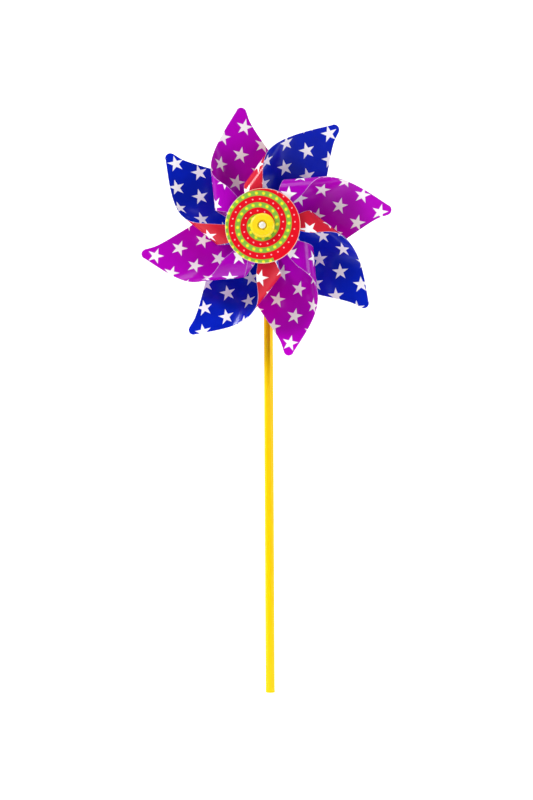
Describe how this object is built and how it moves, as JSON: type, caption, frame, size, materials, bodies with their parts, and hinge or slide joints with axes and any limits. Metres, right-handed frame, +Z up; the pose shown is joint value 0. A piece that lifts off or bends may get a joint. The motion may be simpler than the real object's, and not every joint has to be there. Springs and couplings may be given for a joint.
{
  "type": "pinwheel",
  "caption": "Toy pinwheel: curled film blades in two crossed sheets, with a round printed front disc, spinning on a pin held by a plastic tube stick.",
  "frame": {"origin": "centre of the stick's lower end", "axes": "+Z up along the stick, -Y out of the rotor's front along the axle, +X to the right as seen from the front"},
  "size_m": [0.2145, 0.0701, 0.5027],
  "materials": {
    "stick_plastic": "glossy extruded tube",
    "white_plastic": "moulded white plastic",
    "blue_film": "glossy printed film, white stars on blue, red on the back",
    "purple_film": "glossy printed film, white stars on purple",
    "hub_plastic": "moulded plastic",
    "printed_disc": "glossy printed disc with a two-colour spiral and dots",
    "cap_plastic": "glossy moulded cap"
  },
  "bodies": {
    "stand": {"stick": "stick_plastic", "axle": "white_plastic", "axle_retainer": "white_plastic", "rear_spacer": "white_plastic"},
    "rotor": {"rear_washer": "white_plastic", "blue_sheet": "blue_film", "purple_sheet": "purple_film", "hub_spool": "hub_plastic", "spiral_disc": "printed_disc", "centre_cap": "cap_plastic"}
  },
  "joints": [
    {"name": "rotor_spin", "type": "hinge", "parent": "stand", "child": "rotor", "pos_m": [0, -0.04, 0.396], "axis": [0, -1, 0], "continuous": true}
  ]
}
